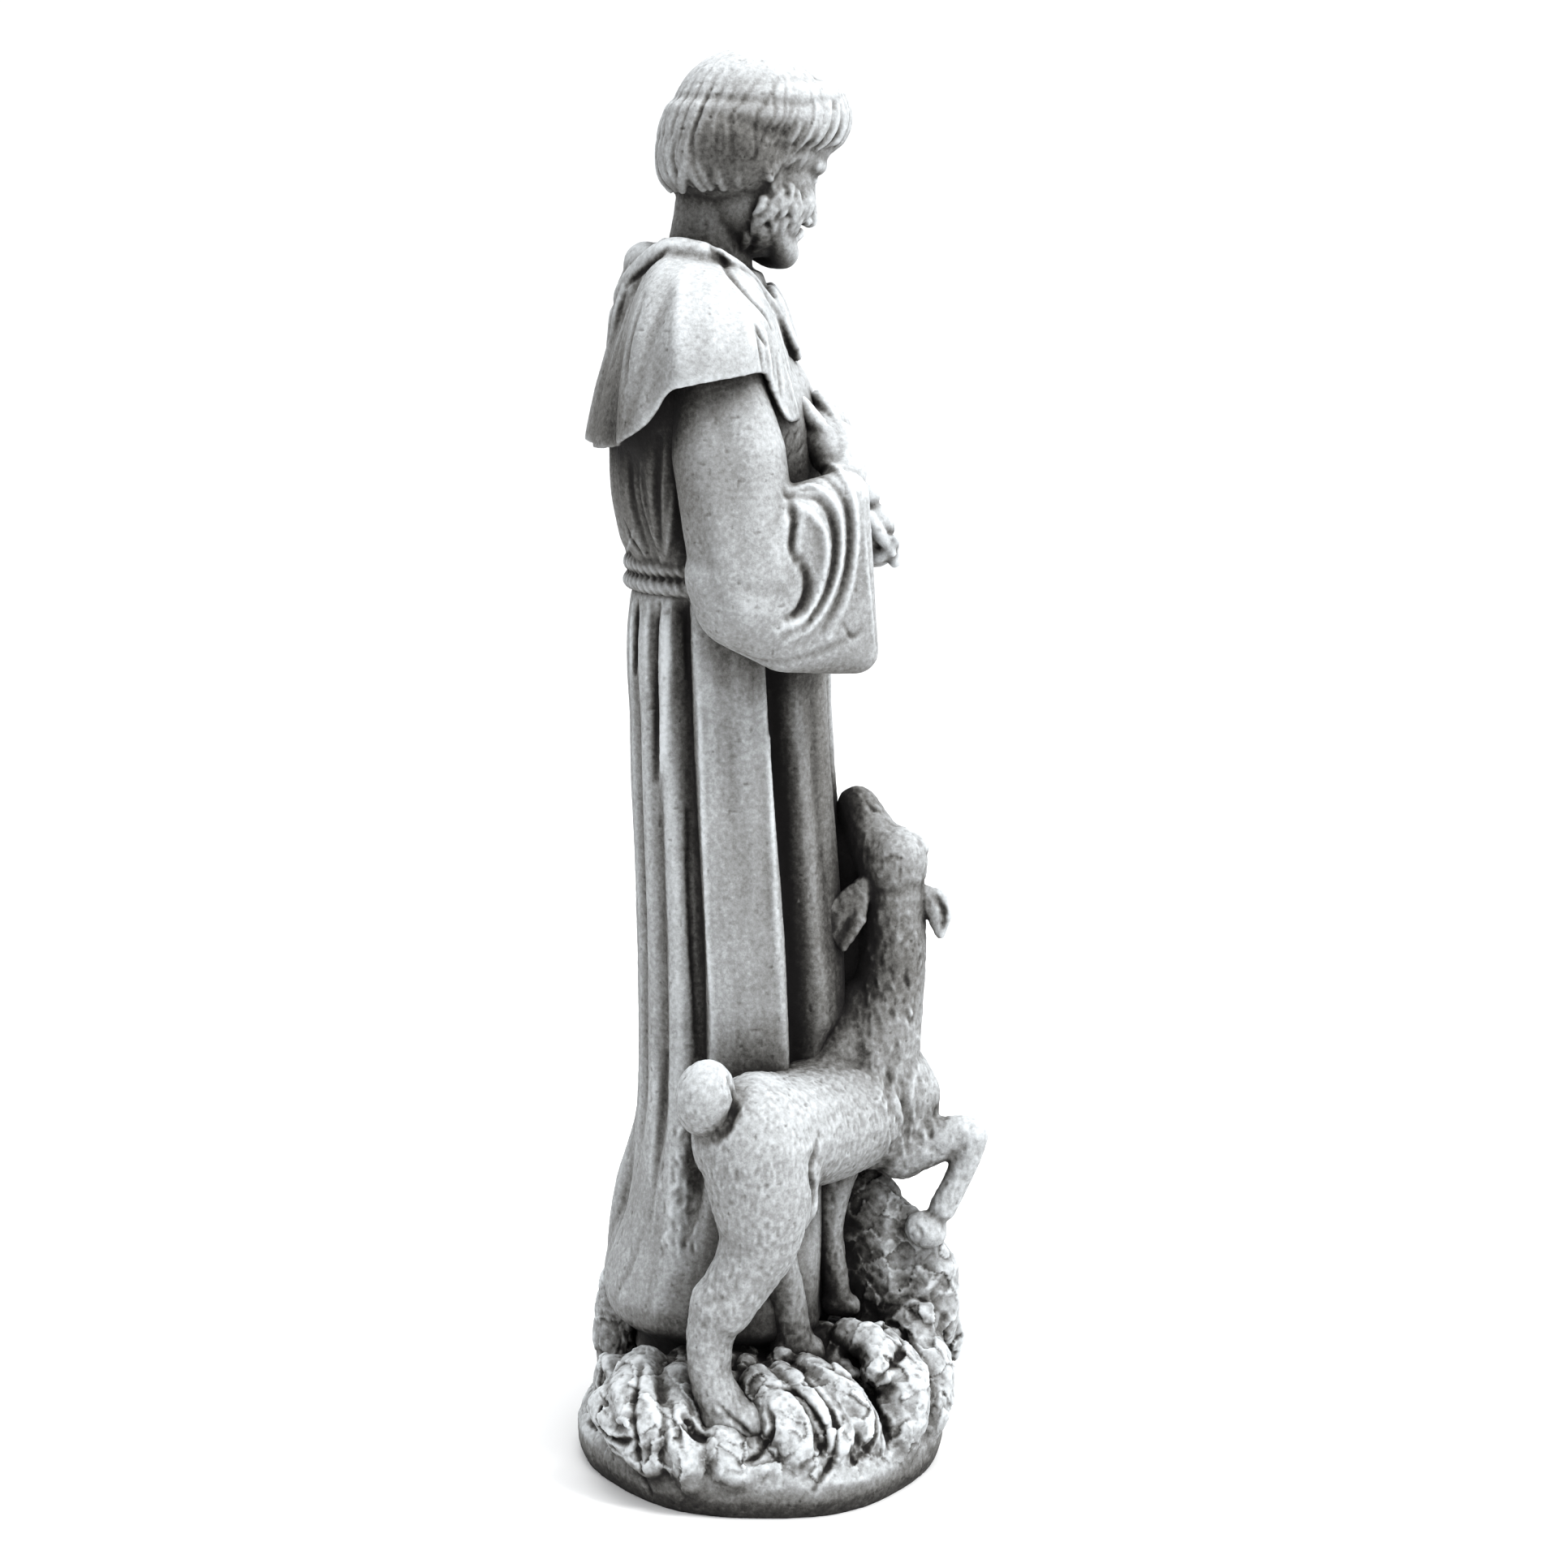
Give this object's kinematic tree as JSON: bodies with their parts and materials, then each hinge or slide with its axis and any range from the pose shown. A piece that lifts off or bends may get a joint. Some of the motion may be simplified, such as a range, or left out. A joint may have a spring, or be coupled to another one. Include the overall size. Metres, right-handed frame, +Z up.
{
  "type": "garden statue of a friar saint with a fawn",
  "caption": "Cast-stone garden statue of a standing friar in habit and shoulder cape, a bird in one hand and a fawn beside them, on a rocky base.",
  "frame": {"origin": "middle of the base's flat underside", "axes": "+Z up through the figure; the saint faces -Y, with their right side towards -X"},
  "size_m": [0.2454, 0.2208, 0.7396],
  "materials": {
    "cast_stone": "grey cast stone, brushed with a pale wash on the raised forms and dark in the recesses, fine sandy grain"
  },
  "bodies": {
    "root": {"saint_statue": "cast_stone"}
  },
  "joints": []
}
